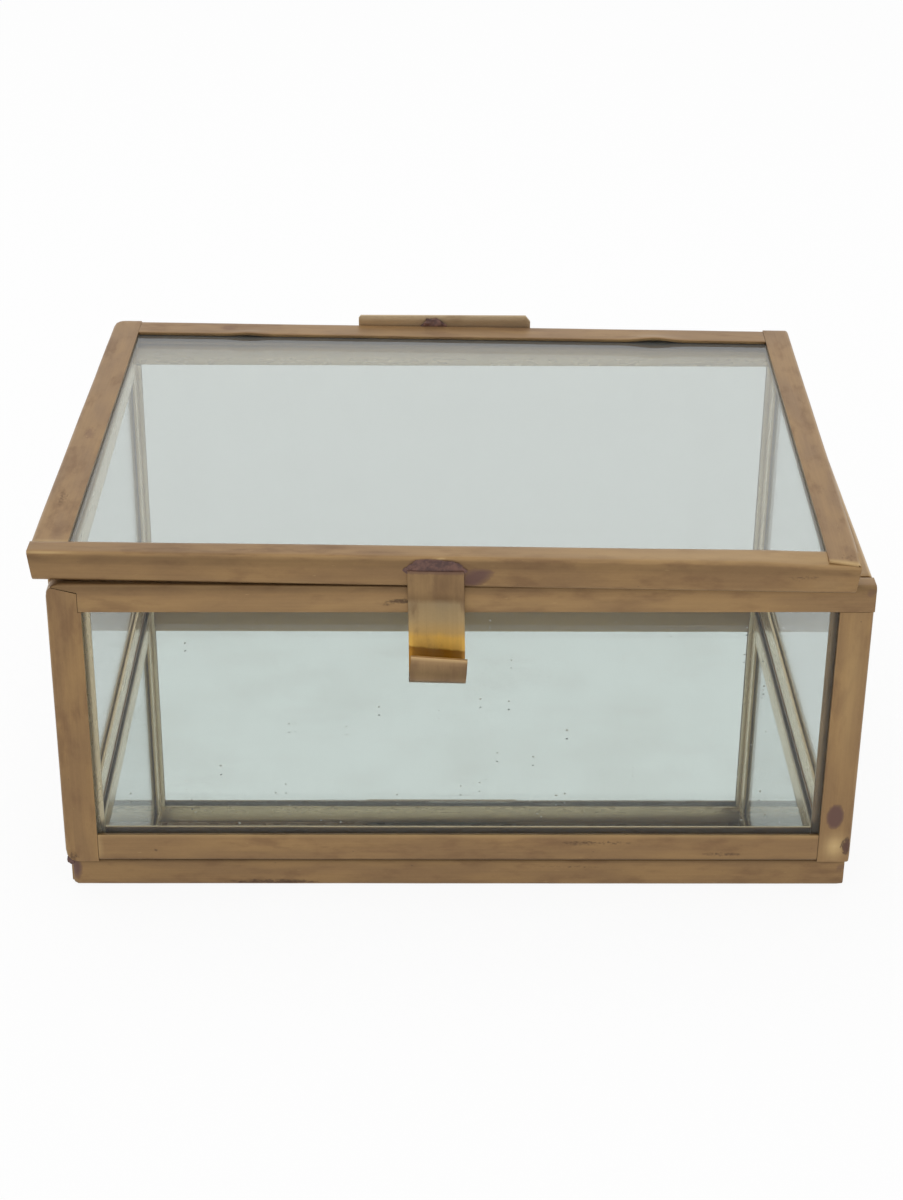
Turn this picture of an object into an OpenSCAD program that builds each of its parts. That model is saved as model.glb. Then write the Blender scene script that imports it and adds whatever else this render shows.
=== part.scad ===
// Glass casket: a mirror base, four glass walls and a hinged glass lid.
// Every pane is gripped on its four edges by folded brass channel, and the
// framed panels are soldered to each other. Sizes are in millimetres.
// X runs to the right, Y away from the viewer and Z up. The origin lies on the
// table, under the middle of the casket's bounding box.

/* [Casket] */
// Width over the two side walls
body_w = 100; // [70:1:160]
// Depth from the face of the front wall to the face of the rear wall
body_d = 77.4; // [50:0.1:130]
// Height of the wall tops above the table
body_h = 43.5; // [30:0.1:90]

/* [Sheet and glass] */
// Thickness of the brass sheet that the channels are folded from
sheet_t = 0.4; // [0.3:0.05:0.5]
// Outside radius of the two folds of a channel
fold_r = 0.6; // [0.55:0.05:0.9]
// Thickness of the wall glass
wall_glass_t = 2; // [1.5:0.1:3]
// Thickness of the lid glass
lid_glass_t = 2.6; // [2:0.1:4]
// Thickness of the base mirror with its painted back
mirror_t = 3; // [2:0.1:4]
// Air between a pane and each leg of its channel
pane_slack = 0.1; // [0.1:0.05:0.3]
// Air between the edge of a pane and the web of its channel
pane_edge_gap = 0.3; // [0.2:0.05:0.8]

/* [Wall frames] */
// Height of the top and bottom rails of a wall
rail_leg = 4; // [3:0.1:6]
// Height of the top rail of the rear wall
rear_top_leg = 3.2; // [2.5:0.1:6]
// Width of the stiles of a wall, on the outside
stile_leg = 4.2; // [3:0.1:6]
// Width of the front wall's stiles on the inside
front_stile_inside = 5; // [3:0.1:6]
// Width of the other walls' stiles on the inside
stile_inside = 3.5; // [3:0.1:6]

/* [Base] */
// How far the base stands back from the faces of the walls
base_inset = 0.5; // [0.3:0.1:1.5]
// Width of the base channel on its underside
base_leg = 4.2; // [3:0.1:6]

/* [Lid] */
// How much narrower the lid is than the casket
lid_short_w = 0.3; // [0:0.1:2]
// How much deeper the lid is than the casket
lid_over_d = 0.1; // [-0.5:0.1:0.5]
// Width of the lid's front channel on its top and underside
lid_front_leg = 3.4; // [3:0.1:6]
// Width of the lid's side channels on their top and underside
lid_side_leg = 4.1; // [3:0.1:6]
// Width of the lid's rear channel on its top and underside
lid_rear_leg = 4.6; // [3:0.1:6]
// Gap between the wall tops and the underside of the lid, at the lid's middle
lid_gap = 0.35; // [0.3:0.05:0.8]
// Gap between the lid and the plane of the hinge leaves, at the lid's middle
lid_back_gap = 0.4; // [0.35:0.05:0.8]
// Distance from the casket's middle to the lid's middle, negative to the left
lid_shift = -1.3; // [-3:0.1:3]
// Angle by which the lid sits askew, seen from above
lid_skew = -1.2; // [-1.5:0.1:1.5]
// Angle by which the lid's right side sits lower than its left
lid_roll = 0.25; // [0:0.05:0.3]
// Distance from the lid's front edge to the lapped end of the right rail
lap_setback = 0.95; // [0.95:0.05:2]

/* [Latch tongue] */
// Width of the tongue
tongue_w = 6.8; // [4:0.1:12]
// Thickness of the tongue
tongue_t = 0.5; // [0.3:0.05:0.8]
// Distance from the lid's middle to the tongue's, negative to the left
tongue_x = -1; // [-10:0.1:10]
// Height of the tongue's top end above the lid's underside
tongue_top = 2; // [1.5:0.1:3]
// Length of the flat stretch below the lid's underside
tongue_flat = 0.8; // [0.5:0.1:2]
// Radius of the small bend towards the wall
tuck_r = 4; // [2:0.5:8]
// Angle of the small bend towards the wall
tuck_deg = 8; // [4:1:9]
// Radius of the long outward curve
sweep_r = 16; // [12:0.5:24]
// Angle from upright at the lower end of the long curve
sweep_deg = 25; // [15:1:35]
// Outside radius of the curl at the foot
curl_r = 1.9; // [1.2:0.1:3]
// Angle from straight down at which the curl ends
curl_deg = 185; // [180:1:200]
// Length of the straight lip above the curl
lip_len = 2.3; // [1:0.1:3]

/* [Hinge] */
// Width of the hinge
hinge_w = 25.4; // [16:0.1:40]
// Distance from the casket's middle to the hinge's, negative to the left
hinge_x = -1.5; // [-10:0.1:10]
// Thickness of a hinge leaf
leaf_t = 0.5; // [0.4:0.05:0.6]
// Height of the upper hinge leaf from the pin's axis to its free edge
leaf_h = 5.1; // [4:0.1:8]
// Depth of the lower leaf below the pin's axis, which keeps it behind the rear top rail
lower_leaf_h = 3.2; // [2.6:0.1:4]
// Radius of the hinge pin
pin_r = 0.6; // [0.5:0.05:0.8]
// Running clearance round the pin
pin_fit = 0.05; // [0.03:0.01:0.08]
// Width of the middle knuckle, on the upper leaf
middle_knuckle_w = 9; // [5:0.5:12]
// Gap between two knuckles
knuckle_gap = 0.2; // [0.1:0.05:0.4]

/* [Solder] */
// Width of a short run of solder where the walls stand on the base
tack_len = 6; // [3:0.5:12]
// Height of the solder above the tongue's top end
dome_h = 0.95; // [0.6:0.05:1.1]
// Thickness of the solder above the tongue's top end
dome_t = 0.3; // [0.2:0.05:0.5]
// Distance from the hinge's middle to the bead on the upper leaf
bead_x = -1.6; // [-8:0.1:8]
// Radius of the bead on the upper leaf
bead_r = 1.7; // [1:0.1:2]

/* [Hidden] */
$fn = 64;

brass = [0.56, 0.44, 0.30];
polished_brass = [0.72, 0.55, 0.24];
flux_brown = [0.38, 0.29, 0.27];
clear_glass = [0.78, 0.84, 0.82, 0.35];
mirror_grey = [0.74, 0.78, 0.76];

// Air that keeps a soldered-in tab or a bead of solder off the sheet beside it
joint_air = 0.03;
// How far a cutting shape runs past what it cuts
past = 1;

function panel_thickness(pane_t) = pane_t + 2 * (pane_slack + sheet_t);
wall_t = panel_thickness(wall_glass_t);
base_t = panel_thickness(mirror_t);
lid_t = panel_thickness(lid_glass_t);
pane_margin = sheet_t + pane_edge_gap;

wall_h = body_h - base_t;
side_d = body_d - 2 * wall_t;
base_w = body_w - 2 * base_inset;
base_d = body_d - 2 * base_inset;
base_lip = wall_t - base_inset;

lid_w = body_w - lid_short_w;
lid_d = body_d + lid_over_d;
lid_middle = [lid_shift, body_d - lid_back_gap - lid_d / 2, body_h + lid_gap];

knuckle_r = pin_r + pin_fit + leaf_t;
hinge_y = body_d + knuckle_r;
hinge_z = body_h + lid_gap / 2;

// Side view of the tongue: the heading is the angle from straight down, turning
// outwards, and each point is [distance out from the lid's face, height]
function along(heading) = [sin(heading), -cos(heading)];
function outward(heading) = [cos(heading), sin(heading)];
function bend_centre(start, r, heading) = start + r * outward(heading);
function bend_end(start, r, from, to) = bend_centre(start, r, from) - r * outward(to);
tuck_start = [0, -tongue_flat];
sweep_start = bend_end(tuck_start, -tuck_r, 0, -tuck_deg);
curl_start = bend_end(sweep_start, sweep_r, -tuck_deg, sweep_deg);
lip_start = bend_end(curl_start, curl_r, sweep_deg, curl_deg);
tongue_reach = bend_centre(curl_start, curl_r, sweep_deg)[0] + curl_r;

// Place in the casket of a point given from the middle of the lid's underside
function rolled(p) = [p[0] * cos(lid_roll) + p[2] * sin(lid_roll), p[1], p[2] * cos(lid_roll) - p[0] * sin(lid_roll)];
function skewed(p) = [p[0] * cos(lid_skew) - p[1] * sin(lid_skew), p[0] * sin(lid_skew) + p[1] * cos(lid_skew), p[2]];
function lid_point(p) = lid_middle + skewed(rolled(p));
lid_corners = [for (x = [-1, 1], y = [-1, 1]) lid_point([x * lid_w / 2, y * lid_d / 2, 0])];
tongue_front = [for (side = [-1, 1]) lid_point([tongue_x + side * tongue_w / 2, -lid_d / 2 - tongue_reach, 0])];
left_most = min(-body_w / 2, min([for (p = lid_corners) p[0]]));
right_most = max(body_w / 2, max([for (p = lid_corners) p[0]]));
front_most = min([for (p = tongue_front) p[1]]);
rear_most = max(hinge_y + knuckle_r, max([for (p = lid_corners) p[1]]));
box_middle = [(left_most + right_most) / 2, (front_most + rear_most) / 2];

// Places and directions

module in_casket() {
    translate([-box_middle[0], -box_middle[1], 0]) children();
}

module in_lid() {
    in_casket() translate(lid_middle) rotate([0, lid_roll, lid_skew])
        translate([-lid_w / 2, -lid_d / 2, 0]) children();
}

module in_base() {
    in_casket() translate([-base_w / 2, base_inset, 0]) children();
}

module in_front_wall() {
    in_casket() translate([-body_w / 2, 0, base_t]) children();
}

module in_rear_wall() {
    in_casket() translate([-body_w / 2, body_d - wall_t, base_t]) children();
}

module in_left_wall() {
    in_casket() translate([wall_t - body_w / 2, wall_t, base_t]) rotate([0, 0, 90]) children();
}

module in_right_wall() {
    in_casket() translate([body_w / 2 - wall_t, body_d - wall_t, base_t]) rotate([0, 0, -90]) children();
}

module flipped_x(width) {
    translate([width, 0, 0]) mirror([1, 0, 0]) children();
}

module flipped_y(depth) {
    translate([0, depth, 0]) mirror([0, 1, 0]) children();
}

module flipped_z(height) {
    translate([0, 0, height]) mirror([0, 0, 1]) children();
}

// Folded channel

// Solid outline with two rounded corners where the web turns into the legs
module folded_outline(across, leg, r) {
    translate([0, r]) square([across, leg - r]);
    translate([r, 0]) square([across - 2 * r, leg]);
    for (x = [r, across - r]) translate([x, r]) circle(r = r);
}

// Channel seen along its length: the web lies at y = 0 and the legs rise from
// it, the low one at x = 0 and the high one at x = across
module channel_outline(across, low_leg, high_leg) {
    longer = max(low_leg, high_leg);
    difference() {
        folded_outline(across, longer, fold_r);
        translate([sheet_t, sheet_t]) folded_outline(across - 2 * sheet_t, longer, fold_r - sheet_t);
        translate([-past, low_leg]) square([across / 2 + past, longer]);
        translate([across / 2, high_leg]) square([across / 2 + past, longer]);
    }
}

// Channel lying along X with its web facing -Y and its low leg underneath
module lying_x(length, across, low_leg, high_leg) {
    translate([length, 0, 0]) rotate([0, -90, 0])
        linear_extrude(height = length) channel_outline(across, low_leg, high_leg);
}

// Channel lying along Y with its web facing -X and its low leg underneath
module lying_y(length, across, low_leg, high_leg) {
    rotate(-120, [1, 1, 1])
        linear_extrude(height = length) channel_outline(across, low_leg, high_leg);
}

// Channel of a wall, along X, with its web underneath and its legs upright
module wall_rail(length, leg) {
    rotate(120, [1, 1, 1])
        linear_extrude(height = length) channel_outline(wall_t, leg, leg);
}

// Tab of web that closes the open end of the neighbouring channel of a lying frame
module lying_tab_y(from, to, across) {
    translate([0, from, sheet_t + joint_air])
        cube([sheet_t, to - from, across - 2 * (sheet_t + joint_air)]);
}

// Wall frames, in a wall's own place: X along it, Y through it, Z up

module top_rail(length, leg = rail_leg) {
    flipped_z(wall_h) wall_rail(length, leg);
}

// Bottom rail between the stiles, each of its legs cut to the stiles' own leg on that side
module bottom_rail(length, inside = stile_inside) {
    start = min(stile_leg, inside);
    difference() {
        translate([start, 0, 0]) wall_rail(length - 2 * start, rail_leg);
        if (stile_leg > start) for (x = [start - past, length - stile_leg])
            translate([x, -past, -past]) cube([stile_leg - start + past, wall_t / 2 + past, rail_leg + 2 * past]);
        if (inside > start) for (x = [start - past, length - inside])
            translate([x, wall_t / 2, -past]) cube([inside - start + past, wall_t, rail_leg + 2 * past]);
    }
}

// Stile with its web at x = 0 and a tab that closes the end of the top rail
module stile(inside = stile_inside, top_leg = rail_leg) {
    stile_h = wall_h - top_leg;
    translate([0, wall_t, 0]) rotate([0, 0, -90])
        linear_extrude(height = stile_h) channel_outline(wall_t, inside, stile_leg);
    translate([0, sheet_t + joint_air, stile_h - past])
        cube([sheet_t, wall_t - 2 * (sheet_t + joint_air), top_leg - fold_r + past]);
}

module wall_pane(length) {
    translate([pane_margin, sheet_t + pane_slack, pane_margin])
        cube([length - 2 * pane_margin, wall_glass_t, wall_h - 2 * pane_margin]);
}

module front_glass() color(clear_glass) in_front_wall() wall_pane(body_w);
module front_top_rail() color(brass) in_front_wall() top_rail(body_w);
module front_bottom_rail() color(brass) in_front_wall() bottom_rail(body_w, front_stile_inside);
module front_left_stile() color(brass) in_front_wall() stile(front_stile_inside);
module front_right_stile() color(brass) in_front_wall() flipped_x(body_w) stile(front_stile_inside);

module rear_glass() color(clear_glass) in_rear_wall() wall_pane(body_w);
module rear_top_rail() color(brass) in_rear_wall() top_rail(body_w, rear_top_leg);
module rear_bottom_rail() color(brass) in_rear_wall() bottom_rail(body_w);
module rear_left_stile() color(brass) in_rear_wall() stile(top_leg = rear_top_leg);
module rear_right_stile() color(brass) in_rear_wall() flipped_x(body_w) stile(top_leg = rear_top_leg);

module left_glass() color(clear_glass) in_left_wall() wall_pane(side_d);
module left_top_rail() color(brass) in_left_wall() top_rail(side_d);
module left_bottom_rail() color(brass) in_left_wall() bottom_rail(side_d);
module left_front_stile() color(brass) in_left_wall() stile();
module left_rear_stile() color(brass) in_left_wall() flipped_x(side_d) stile();

module right_glass() color(clear_glass) in_right_wall() wall_pane(side_d);
module right_top_rail() color(brass) in_right_wall() top_rail(side_d);
module right_bottom_rail() color(brass) in_right_wall() bottom_rail(side_d);
module right_rear_stile() color(brass) in_right_wall() stile();
module right_front_stile() color(brass) in_right_wall() flipped_x(side_d) stile();

// Base, in its own place: the mirror lies in four channels under the walls

module base_mirror() {
    color(mirror_grey) in_base() translate([pane_margin, pane_margin, sheet_t + pane_slack])
        cube([base_w - 2 * pane_margin, base_d - 2 * pane_margin, mirror_t]);
}

module base_long_rail() {
    lying_x(base_w, base_t, base_leg, base_lip);
}

// Side rail between the front and rear rails, cut back where it meets their wider underside
module base_side_rail() {
    difference() {
        translate([0, base_lip, 0]) lying_y(base_d - 2 * base_lip, base_t, base_leg, base_lip);
        for (y = [base_lip - past, base_d - base_leg])
            translate([-past, y, -past]) cube([base_leg + 2 * past, base_leg - base_lip + past, sheet_t + past]);
    }
    lying_tab_y(fold_r, base_lip + past, base_t);
    lying_tab_y(base_d - base_lip - past, base_d - fold_r, base_t);
}

module base_rail_front() color(brass) in_base() base_long_rail();
module base_rail_rear() color(brass) in_base() flipped_y(base_d) base_long_rail();
module base_rail_left() color(brass) in_base() base_side_rail();
module base_rail_right() color(brass) in_base() flipped_x(base_w) base_side_rail();

// Lid, in its own place: its front left corner is at the origin, its underside at z = 0

module lid_glass() {
    color(clear_glass) in_lid() translate([pane_margin, pane_margin, sheet_t + pane_slack])
        cube([lid_w - 2 * pane_margin, lid_d - 2 * pane_margin, lid_glass_t]);
}

// Space above the legs of the front rail that the right rail's lapped end takes
module lap_space() {
    translate([lid_w - lid_side_leg, lap_setback, lid_t - sheet_t]) cube([lid_side_leg, lid_front_leg - lap_setback, sheet_t]);
}

module lid_rail_front() {
    color(brass) in_lid() difference() {
        lying_x(lid_w, lid_t, lid_front_leg, lid_front_leg);
        translate([lid_w - lid_side_leg, lap_setback, lid_t - sheet_t])
            cube([lid_side_leg + past, lid_front_leg, sheet_t + past]);
    }
}

// Side rail from the front rail's legs to the lid's rear edge, with its web at x = 0
module lid_side_rail() {
    translate([0, lid_front_leg, 0]) lying_y(lid_d - lid_front_leg, lid_t, lid_side_leg, lid_side_leg);
    lying_tab_y(fold_r, lid_front_leg + past, lid_t);
}

module lid_rail_left() color(brass) in_lid() lid_side_rail();

module lid_rail_right() {
    color(brass) in_lid() {
        flipped_x(lid_w) lid_side_rail();
        intersection() {
            flipped_x(lid_w) lying_y(lid_front_leg + past, lid_t, lid_side_leg, lid_side_leg);
            union() {
                lap_space();
                translate([0, lid_front_leg - joint_air, 0]) lap_space();
            }
        }
    }
}

// Rear rail between the side rails, with a tab at each end that closes a side rail
module lid_rail_rear() {
    tab_len = lid_side_leg - fold_r;
    color(brass) in_lid() {
        translate([lid_side_leg, 0, 0]) flipped_y(lid_d)
            lying_x(lid_w - 2 * lid_side_leg, lid_t, lid_rear_leg, lid_rear_leg);
        for (x = [fold_r, lid_w - lid_side_leg - past])
            translate([x, lid_d - sheet_t, sheet_t + joint_air])
                cube([tab_len + past, sheet_t, lid_t - 2 * (sheet_t + joint_air)]);
    }
}

// Latch tongue

// Piece of a ring from one angle to another, a little longer so that pieces join
module bend(centre, inner_r, from, to) {
    extra = 0.3;
    reach = 2 * (inner_r + tongue_t);
    steps = 6;
    turn = (to - from + 2 * extra) / steps;
    wedge = [for (i = [0:steps]) reach * [cos(from - extra + i * turn), sin(from - extra + i * turn)]];
    translate(centre) intersection() {
        difference() {
            circle(r = inner_r + tongue_t);
            circle(r = inner_r);
        }
        polygon(concat([[0, 0]], wedge));
    }
}

module tongue_profile() {
    translate([0, -tongue_flat]) square([tongue_t, tongue_top + tongue_flat]);
    bend(bend_centre(tuck_start, -tuck_r, 0), tuck_r, -tuck_deg, 0);
    bend(bend_centre(sweep_start, sweep_r, -tuck_deg), sweep_r - tongue_t, 180 - tuck_deg, 180 + sweep_deg);
    bend(bend_centre(curl_start, curl_r, sweep_deg), curl_r - tongue_t, 180 + sweep_deg, 180 + curl_deg);
    translate(lip_start) rotate(curl_deg) translate([0, -lip_len]) square([tongue_t, lip_len]);
}

module latch_tongue() {
    color(polished_brass) in_lid() translate([lid_w / 2 + tongue_x, 0, 0])
        rotate([90, 0, -90]) linear_extrude(height = tongue_w, center = true) tongue_profile();
}

// Hinge: leaves rolled round the pin, the lower with two knuckles and the upper with one

module on_hinge() {
    in_casket() translate([hinge_x, hinge_y, hinge_z]) children();
}

// Stretch of leaf along X whose plate stops below the pin's axis by the given amount
module leaf_plate(width, depth, stop) {
    translate([-width / 2, -knuckle_r, -depth]) cube([width, leaf_t, depth - stop]);
}

module knuckle(width, depth) {
    leaf_plate(width, depth, 0);
    rotate([0, 90, 0]) cylinder(r = knuckle_r, h = width, center = true);
}

module hinge_bore() {
    rotate([0, 90, 0]) cylinder(r = pin_r + pin_fit, h = hinge_w + 2 * past, center = true);
}

module hinge_leaf_lower() {
    outer_w = (hinge_w - middle_knuckle_w) / 2 - knuckle_gap;
    color(brass) on_hinge() difference() {
        union() {
            leaf_plate(hinge_w, lower_leaf_h, knuckle_r + knuckle_gap);
            for (side = [-1, 1]) translate([side * (hinge_w - outer_w) / 2, 0, 0]) knuckle(outer_w, lower_leaf_h);
        }
        hinge_bore();
    }
}

module hinge_leaf_upper() {
    color(brass) on_hinge() mirror([0, 0, 1]) difference() {
        union() {
            leaf_plate(hinge_w, leaf_h, knuckle_r + knuckle_gap);
            knuckle(middle_knuckle_w, leaf_h);
        }
        hinge_bore();
    }
}

module hinge_pin() {
    color(brass) on_hinge() rotate([0, 90, 0]) cylinder(r = pin_r, h = hinge_w, center = true);
}

// Solder

// Groove between two neighbouring folds, or between a fold and a flat sheet
module groove_outline(folds) {
    difference() {
        translate([joint_air, -fold_r]) square([fold_r, 2 * fold_r]);
        for (side = folds) translate([fold_r, side * fold_r]) circle(r = fold_r + joint_air);
        if (len(folds) == 1) translate([0, -folds[0] * fold_r]) square([4 * fold_r, 2 * fold_r], center = true);
    }
}

// Upright seam on the left side, where the side wall meets the front wall
module corner_seam() {
    translate([-body_w / 2, wall_t, base_t]) linear_extrude(height = wall_h - rail_leg) groove_outline([-1, 1]);
}

// Short run under the left wall's overhang, beside the base channel, near the front
module base_tack() {
    translate([base_inset - body_w / 2, base_inset + base_leg, base_t]) rotate([-90, 0, 0])
        linear_extrude(height = tack_len) groove_outline([1]);
}

module body_solder() {
    color(flux_brown) in_casket()
        for (side = [0, 1], end = [0, 1]) mirror([side, 0, 0]) {
            translate([0, end * body_d, 0]) mirror([0, end, 0]) {
                corner_seam();
                base_tack();
            }
        }
}

// Lid with a little air round it, to cut solder to its surface
module lid_envelope() {
    in_lid() translate([-past, -past, -joint_air]) cube([lid_w + 2 * past, lid_d + past + joint_air, lid_t + 2 * joint_air]);
}

// Solder between the lid's rear face and the upper leaf, with the bead above it
module leaf_solder() {
    fill_w = hinge_w - 2 * tongue_t;
    fill_d = lid_back_gap + hinge_w * sin(abs(lid_skew));
    fill_h = lid_t - 2 * fold_r;
    difference() {
        in_casket() difference() {
            union() {
                translate([hinge_x - fill_w / 2, body_d - fill_d, lid_middle[2] + fold_r]) cube([fill_w, fill_d, fill_h]);
                translate([hinge_x + bead_x, body_d, lid_middle[2] + lid_t - fold_r]) sphere(r = bead_r);
            }
            translate([hinge_x + bead_x - 2 * bead_r, body_d, body_h]) cube([4 * bead_r, 4 * bead_r, 4 * bead_r]);
        }
        lid_envelope();
    }
}

// Low dome of solder on the lid's front face, above the tongue
module tongue_solder() {
    dome_r = (tongue_w * tongue_w / 4 + dome_h * dome_h) / (2 * dome_h);
    in_lid() translate([lid_w / 2 + tongue_x, 0, tongue_top]) rotate([90, 0, 0])
        linear_extrude(height = dome_t) intersection() {
            translate([0, dome_h - dome_r]) circle(r = dome_r);
            translate([-tongue_w / 2, 0]) square([tongue_w, dome_h]);
        }
}

module lid_solder() {
    color(flux_brown) {
        leaf_solder();
        tongue_solder();
    }
}

base_mirror();
base_rail_front();
base_rail_rear();
base_rail_left();
base_rail_right();
front_glass();
front_top_rail();
front_bottom_rail();
front_left_stile();
front_right_stile();
rear_glass();
rear_top_rail();
rear_bottom_rail();
rear_left_stile();
rear_right_stile();
left_glass();
left_top_rail();
left_bottom_rail();
left_front_stile();
left_rear_stile();
right_glass();
right_top_rail();
right_bottom_rail();
right_front_stile();
right_rear_stile();
hinge_leaf_lower();
hinge_pin();
body_solder();
lid_glass();
lid_rail_front();
lid_rail_rear();
lid_rail_left();
lid_rail_right();
latch_tongue();
hinge_leaf_upper();
lid_solder();
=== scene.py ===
# A small glass casket: clear panes in folded brass channel, a dusty mirror floor,
# a lid on one hinge and a curled tongue to lift it by. Everything is in metres.
import math
import random
import bmesh
import bpy
from mathutils import Matrix, Vector, noise


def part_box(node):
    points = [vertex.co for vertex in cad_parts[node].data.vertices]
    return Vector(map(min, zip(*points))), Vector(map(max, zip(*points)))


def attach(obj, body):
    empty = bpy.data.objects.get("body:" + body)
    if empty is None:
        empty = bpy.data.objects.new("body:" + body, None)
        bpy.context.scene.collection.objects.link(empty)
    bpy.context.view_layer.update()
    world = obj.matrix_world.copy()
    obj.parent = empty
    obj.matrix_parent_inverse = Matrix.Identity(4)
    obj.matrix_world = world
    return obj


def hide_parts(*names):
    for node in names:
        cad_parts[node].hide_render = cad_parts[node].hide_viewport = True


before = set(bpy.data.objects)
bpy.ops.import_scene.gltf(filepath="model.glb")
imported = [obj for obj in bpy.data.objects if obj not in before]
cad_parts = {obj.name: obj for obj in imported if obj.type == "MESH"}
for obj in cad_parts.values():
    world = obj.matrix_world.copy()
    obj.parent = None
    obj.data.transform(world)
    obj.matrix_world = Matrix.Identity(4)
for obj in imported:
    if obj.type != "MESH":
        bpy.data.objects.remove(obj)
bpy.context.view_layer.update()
mm = 0.001

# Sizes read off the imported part
front_lo, front_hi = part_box("front_top_rail")
rear_lo, rear_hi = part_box("rear_top_rail")
base_lo, base_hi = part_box("base_rail_front")
mirror_lo, mirror_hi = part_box("base_mirror")
lid_pane_lo, lid_pane_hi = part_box("lid_glass")
pin_lo, pin_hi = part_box("hinge_pin")
body_w = front_hi.x - front_lo.x
body_d = rear_hi.y - front_lo.y
wall_t = front_hi.y - front_lo.y
rail_leg = front_hi.z - front_lo.z
rear_top_leg = rear_hi.z - rear_lo.z
stile_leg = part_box("rear_left_stile")[1].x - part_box("rear_left_stile")[0].x
front_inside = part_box("front_left_stile")[1].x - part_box("front_left_stile")[0].x
base_t = base_hi.z
base_inset = base_lo.x - front_lo.x
base_leg = base_hi.y - base_lo.y
base_lip = wall_t - base_inset
base_w = body_w - 2 * base_inset
base_d = body_d - 2 * base_inset
wall_h = front_hi.z - base_t
side_d = body_d - 2 * wall_t

# Sizes of the sheet, lid, tongue and hinge, as in the part's source
sheet = 0.4 * mm
fold_r = 0.6 * mm
stile_inside = 3.5 * mm
lid_w = 99.7 * mm
lid_d = 77.5 * mm
lid_t = 3.6 * mm
lid_front_leg = 3.4 * mm
lid_side_leg = 4.1 * mm
lid_rear_leg = 4.6 * mm
lid_roll = math.radians(0.25)
lid_skew = math.radians(-1.2)
lap_setback = 0.95 * mm
tongue_w = 6.8 * mm
tongue_t = 0.5 * mm
tongue_x = -1 * mm
tongue_top = 2 * mm
hinge_w = 25.4 * mm
leaf_t = 0.5 * mm
leaf_h = 5.1 * mm
lower_leaf_h = 3.2 * mm
knuckle_w = 9 * mm
knuckle_gap = 0.2 * mm
pin_r = (pin_hi.z - pin_lo.z) / 2
knuckle_r = pin_r + 0.048 * mm + leaf_t
hair = 0.06 * mm

# Places

def turned(x, y, z, degrees):
    """A place measured from the casket's front left corner on the table, turned about Z."""
    return casket @ Matrix.Translation((x, y, z)) @ Matrix.Rotation(math.radians(degrees), 4, "Z")


casket = Matrix.Translation((front_lo.x, front_lo.y, 0))

# The place, length and stiles of each wall. Seen from outside, X is to the right, Y inwards and Z up.
walls = {
    "front": (turned(0, 0, base_t, 0), body_w, "front_left_stile", "front_right_stile"),
    "rear": (turned(body_w, body_d, base_t, 180), body_w, "rear_right_stile", "rear_left_stile"),
    "left": (turned(0, body_d - wall_t, base_t, -90), side_d, "left_rear_stile", "left_front_stile"),
    "right": (turned(body_w, wall_t, base_t, 90), side_d, "right_front_stile", "right_rear_stile"),
}
base_place = casket @ Matrix.Translation((base_inset, base_inset, 0))
lid_place = (
    Matrix.Translation((lid_pane_lo + lid_pane_hi) / 2)
    @ Matrix.Rotation(lid_skew, 4, "Z") @ Matrix.Rotation(lid_roll, 4, "Y")
    @ Matrix.Translation((-lid_w / 2, -lid_d / 2, -lid_t / 2))
)
hinge_place = Matrix.Translation((pin_lo + pin_hi) / 2)


def placing(place, origin, along, legs):
    """Puts a strip's own X along one direction and its legs along another."""
    along, legs = Vector(along), Vector(legs)
    turn = Matrix((along, legs, along.cross(legs))).transposed()
    return place @ Matrix.Translation(origin) @ turn.to_4x4()


# Nodes of the materials

def rgb(red, green, blue):
    """The light that a picture's colour, from 0 to 255, stands for."""
    parts = [c / 255 for c in (red, green, blue)]
    return tuple(c / 12.92 if c < 0.04045 else ((c + 0.055) / 1.055) ** 2.4 for c in parts) + (1,)


def feed(tree, node, values):
    """Links or sets some of a node's sockets."""
    for key, value in values.items():
        if isinstance(value, bpy.types.NodeSocket):
            tree.links.new(value, node.inputs[key])
        else:
            node.inputs[key].default_value = value


def add(tree, kind, values=None, **settings):
    """A new node with its settings and sockets."""
    made = tree.nodes.new("ShaderNode" + kind)
    for name, value in settings.items():
        setattr(made, name, value)
    feed(tree, made, values or {})
    return made


def math_of(tree, operation, first, second=0.5, third=0.5, clamp=False):
    """The result of a sum on up to three values."""
    values = {0: first, 1: second, 2: third}
    return add(tree, "Math", values, operation=operation, use_clamp=clamp).outputs[0]


def mixed(tree, share, first, second, blend="MIX"):
    """Two colours, mixed or multiplied."""
    made = add(tree, "Mix", {0: share, 6: first, 7: second}, data_type="RGBA", blend_type=blend)
    return made.outputs[2]


def ramped(tree, value, low, high, to_low=0, to_high=1):
    """A value that goes smoothly from one level to another."""
    values = {"Value": value, "From Min": low, "From Max": high, "To Min": to_low, "To Max": to_high}
    return add(tree, "MapRange", values, interpolation_type="SMOOTHSTEP").outputs[0]


def speckle(tree, place, stretch, scale, detail=3, rough=0.55, seed=0):
    """Noise stretched by a factor along each axis of place."""
    start = (seed, seed * 1.7, seed * 0.6)
    moved = add(tree, "Mapping", {"Vector": place, "Scale": stretch, "Location": start})
    values = {"Vector": moved.outputs[0], "Scale": scale, "Detail": detail, "Roughness": rough}
    return add(tree, "TexNoise", values).outputs["Fac"]


def new_group(name, inputs, outputs):
    """A group of nodes with the given sockets. Returns its input sockets and its output node as well."""
    tree = bpy.data.node_groups.new(name, "ShaderNodeTree")
    for in_out, sockets in (("INPUT", inputs), ("OUTPUT", outputs)):
        for label, kind in sockets.items():
            tree.interface.new_socket(name=label, in_out=in_out, socket_type="NodeSocket" + kind)
    return tree, tree.nodes.new("NodeGroupInput").outputs, tree.nodes.new("NodeGroupOutput")


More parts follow.
